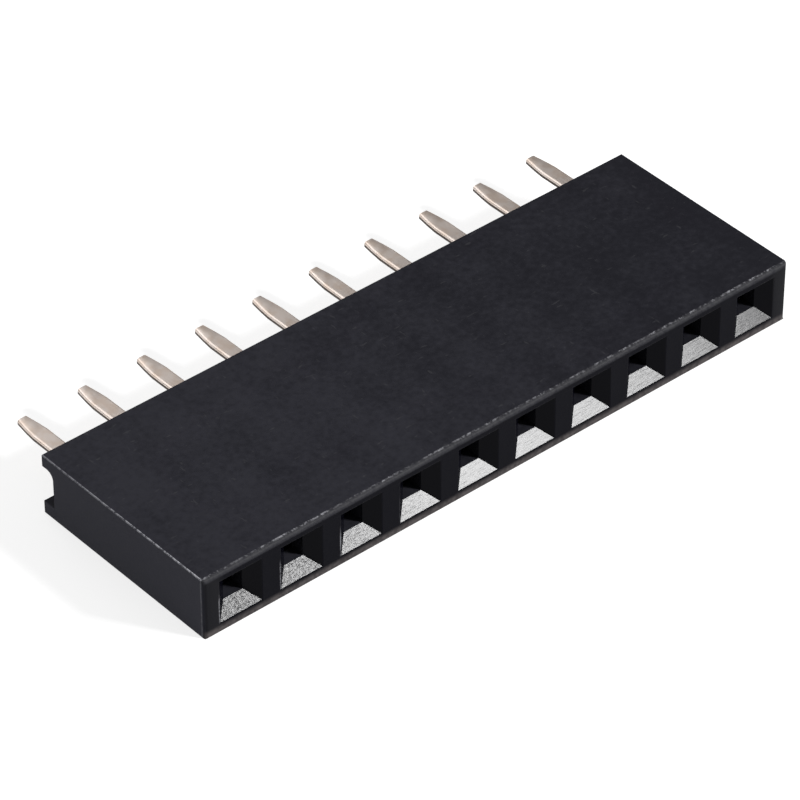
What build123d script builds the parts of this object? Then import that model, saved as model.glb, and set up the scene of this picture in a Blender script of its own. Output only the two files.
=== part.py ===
from build123d import *
import os

# Ten-way single-row socket strip for 0.64 mm square pins on a 2.54 mm pitch: one moulded
# housing and ten stamped spring contacts with straight solder tails.
# It lies on its wide side. X runs along the row with position 1 at -X, -Y is the mating
# face, +Y is the solder side and Z is up. The origin is under the middle of the whole
# part, on the surface that it lies on. Sizes are in millimetres.

# ---- the row and what plugs into it ----
positions = 10
pitch = 2.54
pin_size = 0.64              # square pin that each position takes

# ---- housing, outside ----
body_depth = 8.45            # mating face to the ends of the solder-side lips
body_height = 2.45
end_wall = 0.64              # plastic beyond the last pocket, at each end of the row
edge_radius = 0.03           # outer edges of the moulding
face_radius = 0.16           # top and side edges of the mating face

# ---- housing, mating face ----
web = 0.77                   # plastic left on the face between two pockets
bar_low = 0.34               # plastic left on the face under the pockets
bar_top = 0.35               # plastic left on the face over the pockets
funnel_depth = 0.44          # lead-in, from the face down to the entry hole
entry_clearance = 0.075      # entry hole beyond the pin, on each side
entry_length = 0.55          # straight part of the entry hole

# ---- housing, solder side ----
channel_depth = 0.58         # open channel along the row, between two lips
lip_low = 0.50
lip_top = 0.46
channel_radius_top = 0.32    # root of the top lip
channel_radius_low = 0.10    # root of the low lip
cavity_wall = 0.94           # plastic between two contact cavities

# ---- contact, one folded stamping ----
sheet = 0.20                 # phosphor bronze strip
tail_width = 0.66
tail_reach = 3.12            # beyond the lips
tip_width = 0.41
taper_length = 1.00          # along the tail, before the tip
tip_bevel = 0.05             # coined edges of the tip
side_clearance = 0.05        # folded base to the cavity wall
barb_bite = 0.07             # barbs into the cavity wall
barb_length = 0.42
shoulder_setback = 0.85      # channel floor to the end of the flat shoulder
shoulder_length = 0.90       # flat stretch that carries the barbs
fold_length = 1.10           # stretch where the strip is folded up into a trough
fold_radius = 0.12           # inside of the folds
jog_run = 0.45               # slope that lifts the tail to the middle of the cavity
jog_radius = 0.25
leaf_height = 0.80           # width of the strip in each spring leaf
spring_gap = 0.38            # between the leaves at rest, where they grip the pin
mouth_side = 0.105           # tips of the leaves to the cavity wall, on each side
mouth_clearance = 0.30       # entry wall to the tips of the leaves
flare_length = 0.85          # tips of the leaves to where they grip
leaf_radius = 0.50           # bends of the leaves, at the middle of the strip

# ---- what follows from them ----
pocket_width = pitch - web
pocket_height = body_height - bar_low - bar_top
body_length = (positions - 1) * pitch + pocket_width + 2 * end_wall
overall_depth = body_depth + tail_reach
axis_z = bar_low + pocket_height / 2             # height of the pins' axes
entry_size = pin_size + 2 * entry_clearance
entry_wall = funnel_depth + entry_length
channel_floor = body_depth - channel_depth       # measured from the mating face
cavity_width = pitch - cavity_wall
base_width = cavity_width - 2 * side_clearance
shoulder_end = channel_floor - shoulder_setback
shoulder_start = shoulder_end - shoulder_length
fold_start = shoulder_start - fold_length


def y_at(depth):
    """Y of what lies this far behind the mating face."""
    return depth - overall_depth / 2


def block(width, depths, heights):
    """Box that is centred across one position, between two depths and two heights."""
    (near, far), (low, high) = depths, heights
    middle = Pos(0, y_at((near + far) / 2), (low + high) / 2)
    return middle * Box(width, far - near, high - low)


def along_row(shape):
    """One copy of the shape at each position of the row."""
    first = -(positions - 1) * pitch / 2
    return [Pos(first + n * pitch, 0, 0) * shape for n in range(positions)]


# ---------------------------------------------------------------- housing

def lead_in():
    """Square funnel from the mating face down to the entry hole."""
    face = Plane((0, y_at(0), axis_z), x_dir=(1, 0, 0), z_dir=(0, 1, 0))
    hole = Plane((0, y_at(funnel_depth), axis_z), x_dir=(1, 0, 0), z_dir=(0, 1, 0))
    return loft([face * Rectangle(pocket_width, pocket_height),
                 hole * Rectangle(entry_size, entry_size)], ruled=True)


def channel():
    """Channel along the solder side, open at both ends of the row."""
    high, back = body_height - lip_top, body_depth + edge_radius
    profile = Polygon((y_at(channel_floor), lip_low), (y_at(back), lip_low),
                      (y_at(back), high), (y_at(channel_floor), high), align=None)
    roots = profile.vertices().group_by(Axis.X)[0].sort_by(Axis.Y)
    profile = fillet(roots[0], channel_radius_low)
    profile = fillet(profile.vertices().sort_by_distance((y_at(channel_floor), high))[0],
                     channel_radius_top)
    return extrude(Plane.YZ * profile, body_length / 2 + edge_radius, both=True)


def barb(side):
    """One barb of the shoulder, with its step towards the solder side."""
    root = side * base_width / 2
    reach = side * (cavity_width / 2 + barb_bite)
    step = shoulder_end - shoulder_length / 4
    tooth = Polygon((root, y_at(step - barb_length)), (reach, y_at(step - barb_length / 5)),
                    (reach, y_at(step)), (root, y_at(step)), align=None)
    return extrude(Pos(0, 0, lip_low) * tooth, sheet, dir=(0, 0, 1))


def housing():
    """Moulded body with its pockets, entry holes, contact cavities and channel."""
    body = Pos(0, y_at(body_depth / 2), body_height / 2) * Box(body_length, body_depth, body_height)
    body = fillet(body.faces().sort_by(Axis.Y)[0].edges().sort_by(Axis.Z)[1:], face_radius)
    below, above = body.faces().sort_by(Axis.Z)[0], body.faces().sort_by(Axis.Z)[-1]
    behind = body.faces().sort_by(Axis.Y)[-1]
    rest = above.edges().filter_by(Axis.Y) + below.edges() + behind.edges()
    body = fillet(list(dict.fromkeys(rest)), edge_radius) - channel()
    entry = block(entry_size, (funnel_depth, entry_wall),
                  (axis_z - entry_size / 2, axis_z + entry_size / 2))
    cavity = block(cavity_width, (entry_wall, body_depth + edge_radius),
                   (lip_low, body_height - lip_top))
    for cut in (lead_in(), entry, cavity, barb(-1), barb(1)):
        body -= along_row(cut)
    return body


# ---------------------------------------------------------------- contact

def tail():
    """Flat solder tail that narrows to a blunt, coined tip."""
    start = shoulder_end + jog_run
    end = overall_depth
    half, tip = tail_width / 2, tip_width / 2
    outline = Polygon((-half, y_at(start)), (half, y_at(start)),
                      (half, y_at(end - taper_length)), (tip, y_at(end)),
                      (-tip, y_at(end)), (-half, y_at(end - taper_length)), align=None)
    blade = extrude(Pos(0, 0, axis_z - sheet / 2) * outline, sheet)
    return chamfer(blade.faces().sort_by(Axis.Y)[-1].edges(), tip_bevel)


def jog():
    """Slope of the strip between the shoulder and the tail."""
    floor = lip_low + sheet / 2
    with BuildLine(Plane.YZ) as run:
        FilletPolyline((y_at(shoulder_end - fold_length / 2), floor), (y_at(shoulder_end), floor),
                       (y_at(shoulder_end + jog_run), axis_z),
                       (y_at(body_depth), axis_z), radius=jog_radius)
    section = Plane(run.line @ 0, x_dir=(1, 0, 0), z_dir=run.line % 0)
    return sweep(section * Rectangle(tail_width, sheet), path=run.line)


def trough():
    """Flat shoulder with its barbs, and the fold in front of it that carries the leaves."""
    shoulder = block(base_width, (shoulder_start, shoulder_end), (lip_low, lip_low + sheet))
    outside = block(base_width, (fold_start, shoulder_start),
                    (lip_low, axis_z + leaf_height / 2))
    inside = block(base_width - 2 * sheet, (fold_start, shoulder_start),
                   (lip_low + sheet, axis_z + leaf_height))
    outside = fillet(outside.edges().filter_by(Axis.Y).group_by(Axis.Z)[0], fold_radius + sheet)
    inside = fillet(inside.edges().filter_by(Axis.Y).group_by(Axis.Z)[0], fold_radius)
    return shoulder + barb(-1) + barb(1) + (outside - inside)


def leaf(side):
    """Spring leaf that closes in on the pin and flares out behind the entry hole."""
    wall = side * (base_width - sheet) / 2
    grip = side * (spring_gap + sheet) / 2
    mouth = side * ((cavity_width - sheet) / 2 - mouth_side)
    tips = entry_wall + mouth_clearance
    with BuildLine(Plane((0, 0, axis_z))) as run:
        FilletPolyline((wall, y_at(shoulder_start)), (wall, y_at(fold_start)),
                       (grip, y_at(tips + flare_length)), (mouth, y_at(tips)),
                       radius=leaf_radius)
    section = Plane(run.line @ 0, x_dir=(0, 0, 1), z_dir=run.line % 0)
    return sweep(section * Rectangle(leaf_height, sheet), path=run.line)


def contact():
    """The whole stamping, at the middle of the row."""
    return trough() + jog() + tail() + leaf(-1) + leaf(1)


# ---------------------------------------------------------------- parts

parts = {"housing": housing()}
for number, shape in enumerate(along_row(contact()), start=1):
    parts[f"contact_{number:02d}"] = shape

os.makedirs("parts", exist_ok=True)
for name, shape in parts.items():
    export_step(shape, f"parts/{name}.step")
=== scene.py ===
"""Looks of a ten-way female pin header, built round its CAD frame.

Run as a script, it loads the frame, models the moulded housing and the ten stamped
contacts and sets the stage. It is laid out as an add-on, so each step
is an operator with its sizes and colours in a property group.
"""

import math

import bmesh
import bpy
from bpy.props import FloatProperty, FloatVectorProperty, IntProperty, PointerProperty
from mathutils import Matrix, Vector


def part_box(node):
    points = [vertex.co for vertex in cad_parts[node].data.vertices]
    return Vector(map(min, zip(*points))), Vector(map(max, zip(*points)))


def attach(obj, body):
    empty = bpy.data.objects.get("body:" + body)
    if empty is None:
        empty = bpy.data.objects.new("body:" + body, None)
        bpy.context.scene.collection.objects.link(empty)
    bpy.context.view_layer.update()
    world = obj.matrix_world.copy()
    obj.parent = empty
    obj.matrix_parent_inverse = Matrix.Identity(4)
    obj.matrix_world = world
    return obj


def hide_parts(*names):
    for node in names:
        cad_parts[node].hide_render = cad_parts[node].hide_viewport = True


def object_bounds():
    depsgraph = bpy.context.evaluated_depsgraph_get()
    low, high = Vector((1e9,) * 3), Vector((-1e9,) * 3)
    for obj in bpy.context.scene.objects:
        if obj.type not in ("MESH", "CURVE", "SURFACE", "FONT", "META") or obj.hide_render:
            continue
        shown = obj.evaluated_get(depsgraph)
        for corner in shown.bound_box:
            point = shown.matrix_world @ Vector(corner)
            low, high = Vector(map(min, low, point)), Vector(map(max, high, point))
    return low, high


bl_info = {
    "name": "Female pin header",
    "version": (1, 0, 0),
    "blender": (4, 5, 0),
    "location": "3D View > Sidebar > Pin header",
    "description": "Models a single-row female pin header round its CAD frame",
    "category": "Object",
}

MM = 0.001
BODY = "root"
MATHS = "ShaderNodeMath"

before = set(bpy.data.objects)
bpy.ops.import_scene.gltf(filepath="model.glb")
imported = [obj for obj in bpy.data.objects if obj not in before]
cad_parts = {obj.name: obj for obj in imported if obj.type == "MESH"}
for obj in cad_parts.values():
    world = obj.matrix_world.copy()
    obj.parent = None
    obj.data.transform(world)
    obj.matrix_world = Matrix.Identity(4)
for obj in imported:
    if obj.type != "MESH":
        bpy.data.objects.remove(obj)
CAD_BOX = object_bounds()
HOUSING_LOW, HOUSING_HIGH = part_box("housing")
CONTACTS = sorted(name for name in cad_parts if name.startswith("contact_"))


# ------------------------------------------------------------------ colours and nodes

def linear(code):
    """Linear colour of an sRGB hex code."""
    channels = [int(code[i:i + 2], 16) / 255 for i in (0, 2, 4)]
    return [c / 12.92 if c <= 0.04045 else ((c + 0.055) / 1.055) ** 2.4 for c in channels]


def add_node(tree, kind, settings=None, links=None):
    """A new node. Settings go to its attributes or, by name or number, to its sockets.

    A link comes from a socket, or from a node's first output.
    """
    node = tree.nodes.new(kind)
    for key, value in (settings or {}).items():
        if isinstance(key, str) and hasattr(node, key):
            setattr(node, key, value)
        else:
            node.inputs[key].default_value = value
    for key, source in (links or {}).items():
        tree.links.new(getattr(source, "outputs", [source])[0], node.inputs[key])
    return node


def new_material(name):
    """An empty node material and its tree, with the object's own coordinates in mm."""
    material = bpy.data.materials.new(name)
    material.use_nodes = True
    tree = material.node_tree
    tree.nodes.clear()
    place = add_node(tree, "ShaderNodeTexCoord").outputs["Object"]
    in_mm = add_node(tree, "ShaderNodeMapping", {"Scale": (1 / MM,) * 3}, {"Vector": place})
    return material, tree, in_mm.outputs[0]


def patterns(tree, place, *rows):
    """Irregular patterns, one for each row of features a millimetre, detail and roughness.

    A row may go on with how far the pattern is drawn out along each axis, by a low number,
    and how far it is moved.
    """
    made = []
    for per_mm, detail, rough, *laid in rows:
        moved = add_node(tree, "ShaderNodeMapping", dict(zip(("Scale", "Location"), laid)),
                         {"Vector": place})
        made.append(add_node(tree, "ShaderNodeTexNoise",
                             {"Scale": per_mm, "Detail": detail, "Roughness": rough},
                             {"Vector": moved}))
    return made


def mask(tree, *steps):
    """Product of smooth steps, each of a value, between two of its levels.

    A step goes from 0 to 1, or between the two ends that follow its levels.
    """
    product = None
    for source, start, end, *ends in steps:
        step = add_node(tree, "ShaderNodeMapRange",
                        {"interpolation_type": "SMOOTHSTEP", "From Min": start, "From Max": end,
                         **dict(zip(("To Min", "To Max"), ends))}, {"Value": source})
        if product is not None:
            step = add_node(tree, "ShaderNodeMath", {"operation": "MULTIPLY"},
                            {0: product, 1: step})
        product = step
    return product


def most(tree, *values):
    """The highest of some values, such as the masks of several marks."""
    highest = values[0]
    for value in values[1:]:
        highest = add_node(tree, "ShaderNodeMath", {"operation": "MAXIMUM"},
                           {0: highest, 1: value})
    return highest


def coated(tree, colour, *coats):
    """A colour under coats, each an amount and a colour, which is linear or a socket."""
    for amount, paint in coats:
        settings, links = {"data_type": "RGBA"}, {0: amount}
        for slot, value in ((6, colour), (7, paint)):
            if isinstance(value, list):
                settings[slot] = (*value, 1)
            else:
                links[slot] = value
        colour = add_node(tree, "ShaderNodeMix", settings, links).outputs[2]
    return colour


# ------------------------------------------------------------------ modelling helpers

def deselect():
    """Object mode with nothing selected."""
    if bpy.context.object and bpy.context.object.mode != "OBJECT":
        bpy.ops.object.mode_set(mode="OBJECT")
    bpy.ops.object.select_all(action="DESELECT")


def add_block(name, low, high):
    """Cube primitive between two corners, as a mesh in place on an object at the origin."""
    deselect()
    low, high = Vector(low), Vector(high)
    bpy.ops.mesh.primitive_cube_add(size=1, location=(low + high) / 2, scale=high - low)
    block = bpy.context.object
    block.name = block.data.name = name
    bpy.ops.object.transform_apply(location=True, rotation=True, scale=True)
    return block


def only(piece):
    """Makes the piece the one selected and active object."""
    deselect()
    piece.select_set(True)
    bpy.context.view_layer.objects.active = piece


def pick(piece, test, kind="FACE"):
    """Edit mode on the piece, with the faces or edges selected that pass the test.

    The test gets the middle of each face or edge, and the face's normal or the edge's
    direction.
    """
    if bpy.context.object is not piece or piece.mode != "EDIT":
        only(piece)
        bpy.ops.object.mode_set(mode="EDIT")
    bpy.ops.mesh.select_mode(type=kind)
    bpy.ops.mesh.select_all(action="DESELECT")
    mesh = bmesh.from_edit_mesh(piece.data)
    if kind == "FACE":
        for face in mesh.faces:
            face.select_set(test(face.calc_center_median(), face.normal))
    else:
        for edge in mesh.edges:
            start, end = (vert.co for vert in edge.verts)
            edge.select_set(test((start + end) / 2, (end - start).normalized()))
    mesh.select_flush_mode()
    bmesh.update_edit_mesh(piece.data)


def extrude(step):
    """Extrudes what is selected by a step in space."""
    bpy.ops.mesh.extrude_region_move(TRANSFORM_OT_translate={"value": step})


def resize(scale, centre):
    """Scales what is selected about a point."""
    bpy.ops.transform.resize(value=scale, center_override=centre)


def near(value, target, slack=0.004 * MM):
    """Whether two lengths are the same to within the slack."""
    return abs(value - target) < slack


def apply_modifier(piece, kind, **settings):
    """Adds a modifier with its settings and applies it."""
    only(piece)
    modifier = piece.modifiers.new(kind.title(), kind)
    for key, value in settings.items():
        setattr(modifier, key, value)
    bpy.ops.object.modifier_apply(modifier=modifier.name)


def cut(piece, cutter):
    """Takes the cutter's shape out of the piece."""
    apply_modifier(piece, "BOOLEAN", operation="DIFFERENCE", solver="EXACT", object=cutter,
                   double_threshold=1e-7, material_mode="TRANSFER")
    bpy.data.objects.remove(cutter, do_unlink=True)


# ------------------------------------------------------------------ property groups

class HousingSettings(bpy.types.PropertyGroup):
    """Sizes and colours of the moulded housing."""

    positions: IntProperty(name="Positions", description="Sockets in the row",
                           default=len(CONTACTS), min=1)
    pitch: FloatProperty(name="Pitch", description="Spacing of the sockets along the row",
                         default=2.54 * MM, unit="LENGTH", precision=5)
    web: FloatProperty(name="Web", description="Plastic left on the face between two pockets",
                       default=0.77 * MM, unit="LENGTH", precision=5)
    bar_low: FloatProperty(name="Low bar", description="Plastic left on the face under the pockets",
                           default=0.34 * MM, unit="LENGTH", precision=5)
    bar_top: FloatProperty(name="Top bar", description="Plastic left on the face over the pockets",
                           default=0.35 * MM, unit="LENGTH", precision=5)
    entry: FloatProperty(name="Entry hole", description="Side of the square hole for the pin",
                         default=0.79 * MM, unit="LENGTH", precision=5)
    funnel_depth: FloatProperty(name="Funnel depth", description="Lead-in, from face to hole",
                                default=0.44 * MM, unit="LENGTH", precision=5)
    entry_length: FloatProperty(name="Entry length", description="Straight part of the hole",
                                default=0.55 * MM, unit="LENGTH", precision=5)
    cavity_width: FloatProperty(name="Cavity width", description="Room for the contact's base",
                                default=1.60 * MM, unit="LENGTH", precision=5)
    body_depth: FloatProperty(name="Body depth", description="Mating face to the ends of the lips",
                              default=HOUSING_HIGH.y - HOUSING_LOW.y, unit="LENGTH", precision=5)
    channel_depth: FloatProperty(name="Channel depth", description="Channel on the solder side",
                                 default=0.58 * MM, unit="LENGTH", precision=5)
    lip_low: FloatProperty(name="Low lip", description="Thickness of the lip under the channel",
                           default=0.50 * MM, unit="LENGTH", precision=5)
    lip_top: FloatProperty(name="Top lip", description="Thickness of the lip over the channel",
                           default=0.46 * MM, unit="LENGTH", precision=5)
    channel_radius: FloatProperty(name="Channel root", description="Radius at the top lip's root",
                                  default=0.32 * MM, unit="LENGTH", precision=5)
    edge_radius: FloatProperty(name="Outer edges", description="Rounding of the outer edges",
                               default=0.03 * MM, unit="LENGTH", precision=5)
    face_radius: FloatProperty(name="Face edges",
                               description="Rounding of the mating face's top and side edges",
                               default=0.16 * MM, unit="LENGTH", precision=5)
    rim_radius: FloatProperty(name="Pocket rims", description="Rounding of the pockets' rims",
                              default=0.03 * MM, unit="LENGTH", precision=5)
    plastic: FloatVectorProperty(name="Eroded plastic", description="Colour of the outer faces",
                                 subtype="COLOR", size=3, min=0, max=1,
                                 default=linear("1b1b20"))
    ground: FloatVectorProperty(name="Ground plastic",
                                description="Colour of the mating face and the funnels",
                                subtype="COLOR", size=3, min=0, max=1,
                                default=linear("07070d"))
    # colour of rubbed, whitened edges, and also of the painted highlights and painted reflection on
    # the edges
    worn_and_glint: FloatVectorProperty(name="Worn edge and painted glint", description="Colour of rubbed, whitened edges",
                              subtype="COLOR", size=3, min=0, max=1,
                              default=linear("a4a4aa"))


class ContactSettings(bpy.types.PropertyGroup):
    """Sizes and colour of the stamped contacts."""

    sheet: FloatProperty(name="Sheet", description="Thickness of the strip",
                         default=0.20 * MM, unit="LENGTH", precision=5)
    tail_width: FloatProperty(name="Tail width", description="Width of the solder tail",
                              default=0.66 * MM, unit="LENGTH", precision=5)
    tip_width: FloatProperty(name="Tip width", description="Width of the tail at its tip",
                             default=0.41 * MM, unit="LENGTH", precision=5)
    taper: FloatProperty(name="Taper", description="Length of tail that narrows to the tip",
                         default=1.00 * MM, unit="LENGTH", precision=5)
    base_width: FloatProperty(name="Base width", description="Outside of the folded base",
                              default=1.50 * MM, unit="LENGTH", precision=5)
    shoulder: FloatProperty(name="Shoulder", description="Flat stretch behind the fold",
                            default=0.90 * MM, unit="LENGTH", precision=5)
    setback: FloatProperty(name="Setback", description="Channel floor to the shoulder's end",
                           default=0.85 * MM, unit="LENGTH", precision=5)
    fold: FloatProperty(name="Fold", description="Stretch where the strip is folded up",
                        default=1.10 * MM, unit="LENGTH", precision=5)
    jog: FloatProperty(name="Jog", description="Slope up to the tail",
                       default=0.45 * MM, unit="LENGTH", precision=5)
    leaf: FloatProperty(name="Leaf", description="Width of the strip in each spring leaf",
                        default=0.80 * MM, unit="LENGTH", precision=5)
    spring_gap: FloatProperty(name="Spring gap", description="Between the leaves at rest",
                              default=0.38 * MM, unit="LENGTH", precision=5)
    mouth_side: FloatProperty(name="Mouth side", description="Tips of the leaves to the wall",
                              default=0.105 * MM, unit="LENGTH", precision=5)
    mouth_clearance: FloatProperty(name="Mouth clearance",
                                   description="Entry wall to the tips of the leaves",
                                   default=0.30 * MM, unit="LENGTH", precision=5)
    flare: FloatProperty(name="Flare", description="Tips of the leaves to where they grip",
                         default=0.85 * MM, unit="LENGTH", precision=5)
    edge_radius: FloatProperty(name="Sheared edges", description="Rounding of the strip's edges",
                               default=0.02 * MM, unit="LENGTH", precision=5)
    roll_radius: FloatProperty(name="Die roll", description="Rounding of the tail's upper edges",
                               default=0.09 * MM, unit="LENGTH", precision=5)
    sheared: FloatVectorProperty(name="Sheared edge", description="Colour of the bare bronze",
                                 subtype="COLOR", size=3, min=0, max=1,
                                 default=linear("5e544e"))
    plate: FloatVectorProperty(name="Tin plate", description="Colour of the plating",
                               subtype="COLOR", size=3, min=0, max=1,
                               default=linear("e2d6ce"))


class StageSettings(bpy.types.PropertyGroup):
    """Floor, lamps and camera."""

    floor_size: FloatProperty(name="Floor", description="Side of the floor",
                              default=1.2, unit="LENGTH")
    floor_gap: FloatProperty(name="Floor gap", description="Floor to the underside",
                             default=0.01 * MM, unit="LENGTH", precision=6)
    horizon: FloatProperty(name="Horizon", description="Brightness of the room low down",
                           default=0.10)
    zenith: FloatProperty(name="Zenith", description="Brightness of the room overhead",
                          default=0.42)
    key_power: FloatProperty(name="Key", description="Power of the front right softbox",
                             default=3.3, unit="POWER")
    back_power: FloatProperty(name="Back", description="Power of the wide softbox behind",
                              default=1.2, unit="POWER")
    camera_place: FloatVectorProperty(name="Camera place", description="Where the camera stands",
                                      subtype="TRANSLATION", size=3, precision=6,
                                      default=(-0.084247, -0.098119, 0.102748))
    camera_target: FloatVectorProperty(name="Camera target", description="Where it looks",
                                       subtype="TRANSLATION", size=3, precision=6,
                                       default=(-0.001164, -0.001673, 0.00123))
    lens: FloatProperty(name="Lens", description="Focal length on a 36 mm sensor, in mm",
                        default=217.74)


# ------------------------------------------------------------------ materials

def moulded_polyester(settings):
    """Black PBT polyester, moulded against spark-eroded steel.

    The eroded steel leaves a fine even grain, so the plastic looks matte charcoal. The
    mating face comes off ground steel and is blacker. The row is cut from a longer strip,
    so its ends are greyer, with a whitened ridge along the cut that also carries a painted
    highlight, and the other edges are rubbed in places, with a painted sheen along the
    front's top edge and a painted reflection down the left pockets' rims. The low bar under
    the pockets carries a painted reflection of the floor, and the sinks over the cavities
    carry painted bands of light and shade.
    """
    material, tree, place = new_material("Moulded black polyester")
    low, high = HOUSING_LOW / MM, HOUSING_HIGH / MM
    pitch, radius, sill_top, half_web = (size / MM for size in (
        settings.pitch, settings.face_radius, settings.bar_low, settings.web / 2))
    x, y, z = add_node(tree, "ShaderNodeSeparateXYZ", {}, {0: place}).outputs
    add, subtract, multiply = ({"operation": name} for name in ("ADD", "SUBTRACT", "MULTIPLY"))
    from_left = add_node(tree, MATHS, {**subtract, 1: low.x}, {0: x})
    from_front = add_node(tree, MATHS, {**subtract, 1: low.y}, {0: y})
    from_top = add_node(tree, MATHS, {**subtract, 0: high.z}, {1: z})
    from_floor = add_node(tree, MATHS, {**subtract, 1: low.z}, {0: z})
    from_middle = add_node(tree, MATHS, {"operation": "ABSOLUTE"}, {0: x})

    even, still = (1, 1, 1), (0, 0, 0)
    cloud, mottle, grain, specks, along, across, ragged, patchy = patterns(
        tree, place, (0.45, 3, 0.50), (4.0, 4, 0.65), (14.0, 3, 0.60),
        (9.0, 2, 0.50, even, (3, 1, 7)), (6.0, 2, 0.50, (0.30, 1, 1), (1, 5, 2)),
        (6.0, 2, 0.50, (1, 0.30, 1), (8, 2, 4)), (7.0, 3, 0.70, even, still),
        (1.1, 2, 0.50, even, (4, 4, 0)))

    # light edges: ragged lines along the rounded edges' borders, and down the left pockets. They
    # are rubbed wear, with a painted highlight on the left end's top edge, a painted glint on the
    # front's top edge and a painted reflection down the pockets' rims
    edge = add_node(tree, MATHS, add, {0: from_left, 1: from_top})
    # along the left end's top edge: a whitened burr with a painted highlight laid over it
    burr_and_highlight = mask(tree, (edge, 0.055, 0.030), (ragged, 0.36, 0.56, 0.12, 1.0),
                (from_front, 8.0, 0.0, 0.45, 1.0))
    # dashes along the front's top edge: rubbed wear, with a painted glint of the front lamp
    rise = add_node(tree, MATHS, subtract, {0: from_front, 1: from_top})
    wear_and_glint_dashes = mask(tree, (rise, radius * 0.25, radius * 0.8), (rise, radius * 1.15, radius * 0.9),
                  (from_top, 0.10, 0.05), (ragged, 0.44, 0.66), (patchy, 0.38, 0.60, 0.20, 0.55))
    turn = add_node(tree, MATHS, subtract, {0: from_front, 1: from_left})
    corner = mask(tree, (turn, radius * 0.5, radius * 0.85), (turn, radius * 1.2, radius * 0.95),
                  (from_left, 0.10, 0.05), (ragged, 0.30, 0.62, 0.10, 0.30))
    # lines down the left rim of each left-hand pocket: rubbed wear, with a painted reflection
    cell = add_node(tree, MATHS, {"operation": "DIVIDE", 1: pitch}, {0: x})
    cell = add_node(tree, MATHS, {**add, 1: 50}, {0: cell})  # whole pitches, to stay above 0
    cell = add_node(tree, MATHS, {"operation": "FRACT"}, {0: cell})
    cell = add_node(tree, MATHS, {**multiply, 1: pitch}, {0: cell})
    rims = mask(tree, (cell, half_web - 0.06, half_web - 0.03),
                (cell, half_web + 0.06, half_web + 0.03), (from_front, 0.08, 0.04),
                (from_floor, 1.7, 1.1), (from_floor, sill_top, sill_top + 0.08),
                (from_left, 9.0, 5.0), (ragged, 0.35, 0.60, 0.05, 0.45))

    # tone: clouded and mottled, lighter to the left, with painted bands of light and shade where
    # the sinks over the ten cavities are
    turns = add_node(tree, MATHS, {**multiply, 1: 2 * math.pi / pitch}, {0: x})
    turns = add_node(tree, MATHS, {**add, 1: math.pi}, {0: turns})
    sink = add_node(tree, MATHS, {"operation": "COSINE"}, {0: turns})
    tone = mask(tree, (x, low.x, high.x, 0.14, -0.10))
    # the sink's share paints bands of light and shade into the colour
    for pattern, share in ((cloud, 0.4), (mottle, 0.7), (sink, 0.025)):
        tone = add_node(tree, MATHS, {"operation": "MULTIPLY_ADD", 1: share}, {0: pattern, 2: tone})
    marks = most(tree, mask(tree, (along, 0.68, 0.76)), mask(tree, (across, 0.69, 0.77)),
                 mask(tree, (specks, 0.70, 0.78)))
    marks = add_node(tree, MATHS, {**multiply, 1: 0.45}, {0: marks})

    # the surfaces the steel or the saw left, a painted sheen along the front's top edge, a painted
    # reflection of the floor on the low bar, and the rubbed edges with their painted highlights
    cut = mask(tree, (from_middle, high.x - 0.04, high.x - 0.01))
    face = mask(tree, (from_front, 0.06, 0.01), (from_top, radius * 0.7, radius * 1.2))
    end_wall = mask(tree, (from_middle, high.x - 0.9, high.x - 0.5))
    # a lighter band along the rounded top edge of the mating face: painted sheen of the front lamp
    strip = mask(tree, (from_top, radius * 1.3, radius * 0.3),
                 (from_front, radius * 1.05, radius * 0.8), (ragged, 0.25, 0.65, 0.2, 0.9))
    # the low bar under the pockets is lighter: painted reflection of the white floor
    sill = mask(tree, (from_front, 0.16, 0.02), (from_floor, sill_top, 0.12),
                (across, 0.30, 0.65, 0.55, 1.0))
    plastic, ground = list(settings.plastic), list(settings.ground)
    # lighter colour for the dust marks, and also for the painted sheen along the front's top edge
    dust_and_sheen = [c + 0.030 for c in plastic]
    off_steel = coated(tree, ground, (end_wall, [c + 0.006 for c in ground]))
    lighter = mask(tree, (tone, 0.30, 0.85))
    colour = coated(tree, plastic, (lighter, [c * 1.7 + 0.004 for c in plastic]),
                    (marks, dust_and_sheen), (cut, [c * 3.5 for c in plastic]), (face, off_steel),
                    (strip, dust_and_sheen), (sill, linear("4e4a4a")),
                    (most(tree, burr_and_highlight, wear_and_glint_dashes, corner, rims), list(settings.worn_and_glint)))

    bump = add_node(tree, "ShaderNodeBump", {"Strength": 0.35, "Distance": 0.012 * MM},
                    {"Height": grain})
    bump = add_node(tree, "ShaderNodeBump", {"Strength": 1.0, "Distance": 0.007 * MM},
                    {"Height": sink, "Normal": bump})
    rough = add_node(tree, MATHS, {"operation": "MULTIPLY_ADD", 1: 0.12, 2: 0.42}, {0: mottle})
    shader = add_node(tree, "ShaderNodeBsdfPrincipled", {"IOR": 1.57, "Specular IOR Level": 0.03},
                      {"Base Color": colour, "Roughness": rough, "Normal": bump})
    add_node(tree, "ShaderNodeOutputMaterial", {}, {"Surface": shader})
    return material


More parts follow.
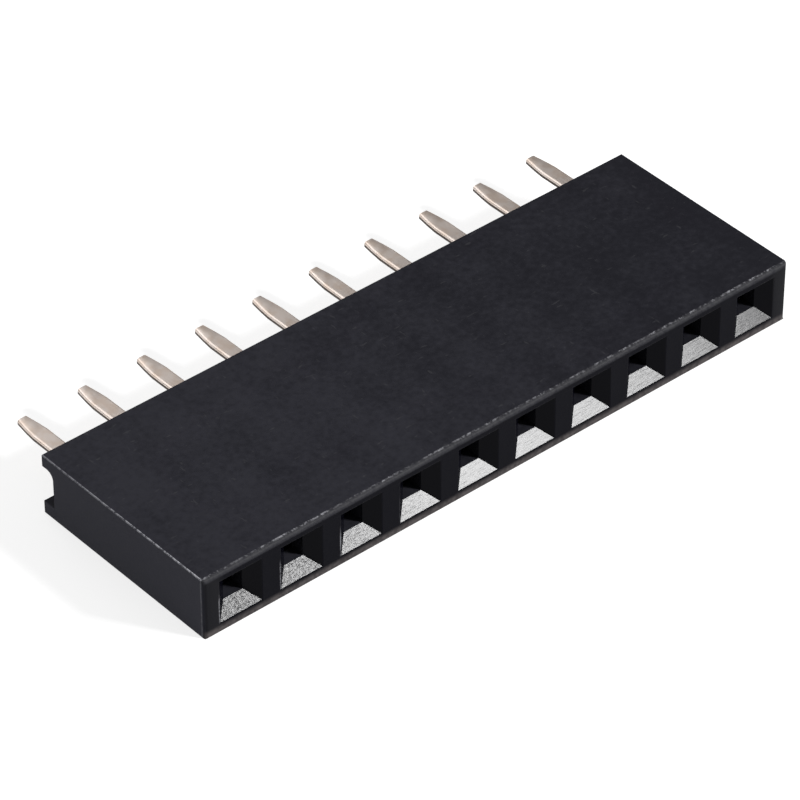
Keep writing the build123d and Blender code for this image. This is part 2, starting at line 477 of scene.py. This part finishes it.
def ground_polyester(settings):
    """The same black PBT where it was moulded against ground core pins.

    Grinding leaves fine lines along the row, so these faces are glossy across them and
    mirror a lamp as bright silver. The first pins in the row wear them most, and leave
    pits as well.
    """
    material, tree, place = new_material("Black polyester off ground steel")
    x = add_node(tree, "ShaderNodeSeparateXYZ", {}, {0: place})
    half = HOUSING_HIGH.x / MM
    wear = mask(tree, (x, half * 0.2, -half))
    lines, pits = patterns(tree, place, (16.0, 2, 0.50, (0.12, 1, 1)), (9.0, 3, 0.65, (0.7, 1, 1)))
    height = None
    for pattern, least, greatest in ((lines, 0.35, 0.8), (pits, 0.10, 1.5)):
        depth = mask(tree, (wear, 0.0, 1.0, least, greatest))
        links = {0: pattern, 1: depth}
        if height is not None:
            links[2] = height
        height = add_node(tree, MATHS, {"operation": "MULTIPLY_ADD", 2: 0}, links)
    bump = add_node(tree, "ShaderNodeBump", {"Strength": 0.5, "Distance": 0.010 * MM},
                    {"Height": height})
    shader = add_node(tree, "ShaderNodeBsdfPrincipled",
                      {"Base Color": (*settings.ground, 1), "IOR": 1.57, "Roughness": 0.16,
                       "Specular IOR Level": 0.042}, {"Normal": bump})
    add_node(tree, "ShaderNodeOutputMaterial", {}, {"Surface": shader})
    return material


def tin_plate(settings):
    """Matte tin over phosphor bronze strip.

    Rolling leaves faint lines along the strip, and the tin is slightly uneven and warm
    where the bronze shows through.
    """
    material, tree, place = new_material("Matte tin plate")
    lines, blotch = patterns(tree, place, (12.0, 3, 0.50, (1, 0.12, 1)), (2.2, 3, 0.50))
    plate = list(settings.plate)
    warm = [c * share for c, share in zip(plate, (0.93, 0.88, 0.83))]
    colour = coated(tree, plate, (mask(tree, (blotch, 0.40, 0.66)), warm))
    bump = add_node(tree, "ShaderNodeBump", {"Strength": 0.25, "Distance": 0.008 * MM},
                    {"Height": lines})
    rough = add_node(tree, MATHS, {"operation": "MULTIPLY_ADD", 1: 0.16, 2: 0.32}, {0: lines})
    shader = add_node(tree, "ShaderNodeBsdfPrincipled", {"Metallic": 1.0},
                      {"Base Color": colour, "Roughness": rough, "Normal": bump})
    add_node(tree, "ShaderNodeOutputMaterial", {}, {"Surface": shader})
    return material


def sheared_bronze(settings):
    """Bare phosphor bronze, sheared after the strip was plated: dull, dark and torn."""
    material, tree, place = new_material("Sheared phosphor bronze")
    tear, = patterns(tree, place, (9.0, 3, 0.50, (1, 1, 0.3)))
    bare = list(settings.sheared)
    colour = coated(tree, bare, (tear, [c * 0.6 for c in bare]))
    bump = add_node(tree, "ShaderNodeBump", {"Strength": 0.4, "Distance": 0.010 * MM},
                    {"Height": tear})
    shader = add_node(tree, "ShaderNodeBsdfPrincipled", {"Metallic": 1.0, "Roughness": 0.5},
                      {"Base Color": colour, "Normal": bump})
    add_node(tree, "ShaderNodeOutputMaterial", {}, {"Surface": shader})
    return material


def white_paper():
    """White paper floor. The camera and reflections see it white, and it keeps the shadow."""
    material, tree, _ = new_material("White paper")
    path = add_node(tree, "ShaderNodeLightPath").outputs
    seen = most(tree, *(path[f"Is {ray} Ray"] for ray in ("Camera", "Glossy", "Transmission")))
    strength = add_node(tree, MATHS, {"operation": "MULTIPLY", 1: 0.72}, {0: seen})
    diffuse = add_node(tree, "ShaderNodeBsdfDiffuse", {"Color": (*linear("a8a8a8"), 1)})
    glow = add_node(tree, "ShaderNodeEmission", {"Color": (1, 1, 1, 1)}, {"Strength": strength})
    both = add_node(tree, "ShaderNodeAddShader", {}, {0: diffuse, 1: glow})
    add_node(tree, "ShaderNodeOutputMaterial", {}, {"Surface": both})
    return material


# ------------------------------------------------------------------ operators

class HEADER_OT_housing(bpy.types.Operator):
    """Model the moulded housing: block, channel, ten pockets and their rounded rims"""

    bl_idname = "header.housing"
    bl_label = "Moulded housing"

    def execute(self, context):
        s = context.scene.header_housing
        low, high = HOUSING_LOW, HOUSING_HIGH
        front, back = low.y, low.y + s.body_depth
        piece = add_block("moulded_housing", low, high)
        pick(piece, lambda c, d: c.y > front + s.face_radius, "EDGE")
        bpy.ops.transform.edge_bevelweight(value=s.edge_radius / s.face_radius)
        pick(piece, lambda c, d: near(c.y, front) and not near(c.z, low.z), "EDGE")
        bpy.ops.transform.edge_bevelweight(value=1)
        pick(piece, lambda c, d: near(c.y, front) and near(c.z, low.z), "EDGE")
        bpy.ops.transform.edge_bevelweight(value=s.edge_radius / s.face_radius)
        apply_modifier(piece, "BEVEL", width=s.face_radius, segments=6, limit_method="WEIGHT")
        piece.data.materials.append(moulded_polyester(s))
        piece.data.materials.append(ground_polyester(s))

        # channel along the solder side
        floor, roof = low.z + s.lip_low, high.z - s.lip_top
        channel = add_block("channel", (low.x - MM, back - s.channel_depth, floor),
                            (high.x + MM, back + MM, roof))
        pick(channel, lambda c, d: abs(d.x) > 0.9 and near(c.z, roof)
             and near(c.y, back - s.channel_depth), "EDGE")
        bpy.ops.mesh.bevel(offset=s.channel_radius, segments=8, affect="EDGES")
        channel.data.materials.append(piece.data.materials[0])
        cut(piece, channel)

        # one pocket: funnel, entry hole and cavity, then its copies along the row
        width = s.pitch - s.web
        sill, lintel = low.z + s.bar_low, high.z - s.bar_top
        first = -(s.positions - 1) * s.pitch / 2
        axis = (sill + lintel) / 2
        pocket = add_block("pocket", (first - width / 2, front - s.web, sill),
                           (first + width / 2, front, lintel))
        pick(pocket, lambda c, n: n.y > 0.9)
        extrude((0, s.funnel_depth, 0))
        resize((s.entry / width, 1, s.entry / (lintel - sill)), (first, front, axis))
        extrude((0, s.entry_length, 0))
        extrude((0, 0, 0))
        resize((s.cavity_width / s.entry, 1, (roof - floor) / s.entry), (first, front, axis))
        bpy.ops.transform.translate(value=(0, 0, (roof + floor) / 2 - axis))
        extrude((0, s.body_depth, 0))
        deselect()
        pocket.data.materials.append(piece.data.materials[0])
        pocket.data.materials.append(piece.data.materials[1])
        for face in pocket.data.polygons:
            middle = face.center.y
            face.material_index = int(front < middle < front + s.funnel_depth)
        apply_modifier(pocket, "ARRAY", count=s.positions, use_relative_offset=False,
                       use_constant_offset=True, constant_offset_displace=(s.pitch, 0, 0))
        cut(piece, pocket)

        # rims of the pockets, where the steel met the face
        pick(piece, lambda c, d: near(c.y, front) and low.z + s.bar_low / 2 < c.z
             < high.z - s.bar_top / 2 and low.x + s.face_radius * 2 < c.x
             < high.x - s.face_radius * 2, "EDGE")
        bpy.ops.mesh.bevel(offset=s.rim_radius, segments=3, affect="EDGES")
        only(piece)
        bpy.ops.object.shade_smooth_by_angle(angle=math.radians(32))
        pick(piece, lambda c, n: front < c.y < front + s.funnel_depth and 0.6 < -n.y < 0.8
             and max(abs(n.x), abs(n.z)) > 0.6 and c.y > front + s.funnel_depth / 3)
        bpy.ops.mesh.region_to_loop()
        bpy.ops.mesh.mark_sharp()
        deselect()
        apply_modifier(piece, "WEIGHTED_NORMAL", keep_sharp=True, weight=100)
        for vert in piece.data.vertices:  # the mitres at the lower corners stand proud
            vert.co.y = max(vert.co.y, front)
        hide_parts("housing")
        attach(piece, BODY)
        return {"FINISHED"}


class HEADER_OT_contacts(bpy.types.Operator):
    """Fold one contact out of flat strip, thicken it and copy it along the row"""

    bl_idname = "header.contacts"
    bl_label = "Stamped contacts"

    def execute(self, context):
        s, h = context.scene.header_contact, context.scene.header_housing
        first = -(h.positions - 1) * h.pitch / 2
        front, tip = HOUSING_LOW.y, CAD_BOX[1].y
        base = HOUSING_LOW.z + h.lip_low + s.sheet / 2
        axis = (HOUSING_LOW.z + h.bar_low + HOUSING_HIGH.z - h.bar_top) / 2
        shoulder_end = front + h.body_depth - h.channel_depth - s.setback
        fold_end = shoulder_end - s.shoulder
        fold_start = fold_end - s.fold
        jog_end = shoulder_end + s.jog
        wall = (s.base_width - s.sheet) / 2
        leaf_low, leaf_top = axis - s.leaf / 2, axis + s.leaf / 2

        # tail: one rectangle of strip, drawn out into its taper
        deselect()
        bpy.ops.mesh.primitive_plane_add(
            size=1, location=(first, (jog_end + tip - s.taper) / 2, axis))
        strip = bpy.context.object
        strip.name = strip.data.name = CONTACTS[0].replace("contact", "stamped_contact")
        strip.scale = (s.tail_width, tip - s.taper - jog_end, 1)
        bpy.ops.object.transform_apply(location=True, rotation=True, scale=True)

        def pick_edge(y, lies_along=0, x=None, z=None):
            pick(strip, lambda c, d: near(c.y, y) and abs(d[lies_along]) > 0.9
                 and (x is None or near(c.x - first, x)) and (z is None or near(c.z, z)), "EDGE")

        pick_edge(tip - s.taper)
        extrude((0, s.taper * 0.45, 0))
        resize((0.86, 1, 1), (first, tip, axis))
        extrude((0, s.taper * 0.55, 0))
        resize((s.tip_width / s.tail_width / 0.86, 1, 1), (first, tip, axis))

        # jog down to the shoulder, the shoulder, and the floor of the fold
        step = (s.base_width - s.tail_width) / 8
        pick_edge(jog_end)
        extrude((0, -s.jog, base - axis))
        extrude((0, -step, 0))
        resize((s.base_width / s.tail_width, 1, 1), (first, shoulder_end, base))
        extrude((0, step - s.shoulder, 0))
        extrude((0, -s.sheet / 4, 0))
        resize((2 * wall / s.base_width, 1, 1), (first, fold_end, base))
        extrude((0, s.sheet / 4 - s.fold, 0))

        # walls folded up, and the leaves that run forward from them
        middle = (fold_start + fold_end - s.sheet / 4) / 2
        tips = front + h.funnel_depth + h.entry_length + s.mouth_clearance
        for side in (-1, 1):
            pick_edge(middle, 1, side * wall, base)
            extrude((0, 0, leaf_low - base))
            extrude((0, 0, s.leaf))
            grip = side * (s.spring_gap + s.sheet) / 2
            mouth = side * ((h.cavity_width - s.sheet) / 2 - s.mouth_side)
            pick_edge(fold_start, 2, side * wall, axis)
            extrude((grip - side * wall, tips + s.flare - fold_start, 0))
            extrude((mouth - grip, -s.flare, 0))

        # bends: the fold lines, the jog and the leaves get their radius
        pick(strip, lambda c, d: abs(d.y) > 0.9 and near(c.z, base)
             and near(abs(c.x - first), wall), "EDGE")
        bpy.ops.mesh.bevel(offset=s.sheet * 0.9, segments=4, affect="EDGES")
        pick(strip, lambda c, d: abs(d.x) > 0.9 and (near(c.y, jog_end) or near(c.y, shoulder_end)),
             "EDGE")
        bpy.ops.mesh.bevel(offset=s.sheet * 0.6, segments=4, affect="EDGES")
        pick(strip, lambda c, d: abs(d.z) > 0.9 and near(c.z, axis)
             and tips + s.sheet < c.y < fold_start + s.sheet, "EDGE")
        bpy.ops.mesh.bevel(offset=s.sheet * 1.1, segments=4, affect="EDGES")
        bpy.ops.mesh.select_all(action="SELECT")
        bpy.ops.mesh.normals_make_consistent(inside=False)
        deselect()
        strip.data.materials.append(tin_plate(s))
        strip.data.materials.append(sheared_bronze(s))
        apply_modifier(strip, "SOLIDIFY", thickness=s.sheet, offset=0.0, use_even_offset=True,
                       material_offset_rim=1)
        pick(strip, lambda c, d: near(c.z, axis + s.sheet / 2) and c.y > jog_end - s.jog / 4
             and abs(c.x - first) > s.tip_width / 2 - s.sheet / 8, "EDGE")
        bpy.ops.mesh.bevel(offset=s.roll_radius, segments=5, affect="EDGES", material=0)
        apply_modifier(strip, "BEVEL", width=s.edge_radius, segments=3, limit_method="ANGLE",
                       angle_limit=math.radians(50))
        only(strip)
        bpy.ops.object.shade_smooth_by_angle(angle=math.radians(35))
        apply_modifier(strip, "WEIGHTED_NORMAL", keep_sharp=True, weight=100)

        # the other nine, each with its own mesh
        for number, node in enumerate(CONTACTS):
            piece = strip
            if number:
                only(strip)
                bpy.ops.object.duplicate(linked=False)
                piece = context.object
                piece.name = piece.data.name = node.replace("contact", "stamped_contact")
                piece.location.x = number * h.pitch
                bpy.ops.object.transform_apply(location=True, rotation=False, scale=False)
            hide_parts(node)
            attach(piece, BODY)
        return {"FINISHED"}


class HEADER_OT_stage(bpy.types.Operator):
    """Lay the floor, hang the lamps and place the camera"""

    bl_idname = "header.stage"
    bl_label = "Stage"

    def execute(self, context):
        s, scene = context.scene.header_stage, context.scene
        deselect()
        bpy.ops.mesh.primitive_plane_add(size=s.floor_size, location=(0, 0, -s.floor_gap))
        floor = context.object
        floor.name = "floor"
        floor.data.materials.append(white_paper())

        world = bpy.data.worlds.new("Light room")
        world.use_nodes = True
        scene.world = world
        tree = world.node_tree
        tree.nodes.clear()
        way = add_node(tree, "ShaderNodeTexCoord").outputs["Generated"]
        height = add_node(tree, "ShaderNodeSeparateXYZ", {}, {0: way}).outputs[2]
        room = add_node(tree, "ShaderNodeBackground", {"Color": (1, 1, 1, 1)},
                        {"Strength": mask(tree, (height, 0.0, 1.0, s.horizon, s.zenith))})
        add_node(tree, "ShaderNodeOutputWorld", {}, {"Surface": room})

        self.softbox("front_right_softbox", -55, 31, (0.095, 0.044), s.key_power)
        self.softbox("back_softbox", 106, 38, (0.72, 0.36), s.back_power)

        lens = bpy.data.cameras.new("camera")
        lens.lens, lens.sensor_width, lens.clip_start = s.lens, 36, 0.01
        camera = bpy.data.objects.new("camera", lens)
        scene.collection.objects.link(camera)
        camera.location = s.camera_place
        look = Vector(s.camera_target) - Vector(s.camera_place)
        camera.rotation_euler = look.to_track_quat("-Z", "Y").to_euler()
        scene.camera = camera
        scene.view_settings.view_transform = "Standard"
        return {"FINISHED"}

    @staticmethod
    def softbox(name, azimuth, elevation, size, power, distance=0.5):
        """Rectangular lamp that faces the object from a direction in degrees."""
        azimuth, elevation = math.radians(azimuth), math.radians(elevation)
        way = Vector((math.cos(azimuth) * math.cos(elevation),
                      math.sin(azimuth) * math.cos(elevation), math.sin(elevation)))
        lamp = bpy.data.lights.new(name, "AREA")
        lamp.shape, lamp.energy = "RECTANGLE", power
        lamp.size, lamp.size_y = size
        place = bpy.data.objects.new(name, lamp)
        bpy.context.scene.collection.objects.link(place)
        place.location = way * distance
        place.rotation_euler = (-way).to_track_quat("-Z", "Y").to_euler()


class HEADER_PT_panel(bpy.types.Panel):
    """Buttons and sizes of the pin header"""

    bl_idname = "HEADER_PT_panel"
    bl_label = "Pin header"
    bl_space_type = "VIEW_3D"
    bl_region_type = "UI"
    bl_category = "Pin header"

    def draw(self, context):
        scene = context.scene
        for operator, group in ((HEADER_OT_housing, scene.header_housing),
                                (HEADER_OT_contacts, scene.header_contact),
                                (HEADER_OT_stage, scene.header_stage)):
            box = self.layout.box()
            box.operator(operator.bl_idname)
            for name in group.bl_rna.properties.keys():
                if name not in ("rna_type", "name"):
                    box.prop(group, name)


CLASSES = (HousingSettings, ContactSettings, StageSettings, HEADER_OT_housing,
           HEADER_OT_contacts, HEADER_OT_stage, HEADER_PT_panel)
GROUPS = {"header_housing": HousingSettings, "header_contact": ContactSettings,
          "header_stage": StageSettings}


def register():
    for cls in CLASSES:
        bpy.utils.register_class(cls)
    for name, group in GROUPS.items():
        setattr(bpy.types.Scene, name, PointerProperty(type=group))


def unregister():
    for name in GROUPS:
        delattr(bpy.types.Scene, name)
    for cls in reversed(CLASSES):
        bpy.utils.unregister_class(cls)


def main():
    register()
    bpy.ops.header.housing()
    bpy.ops.header.contacts()
    bpy.ops.header.stage()


if __name__ == "__main__":
    main()
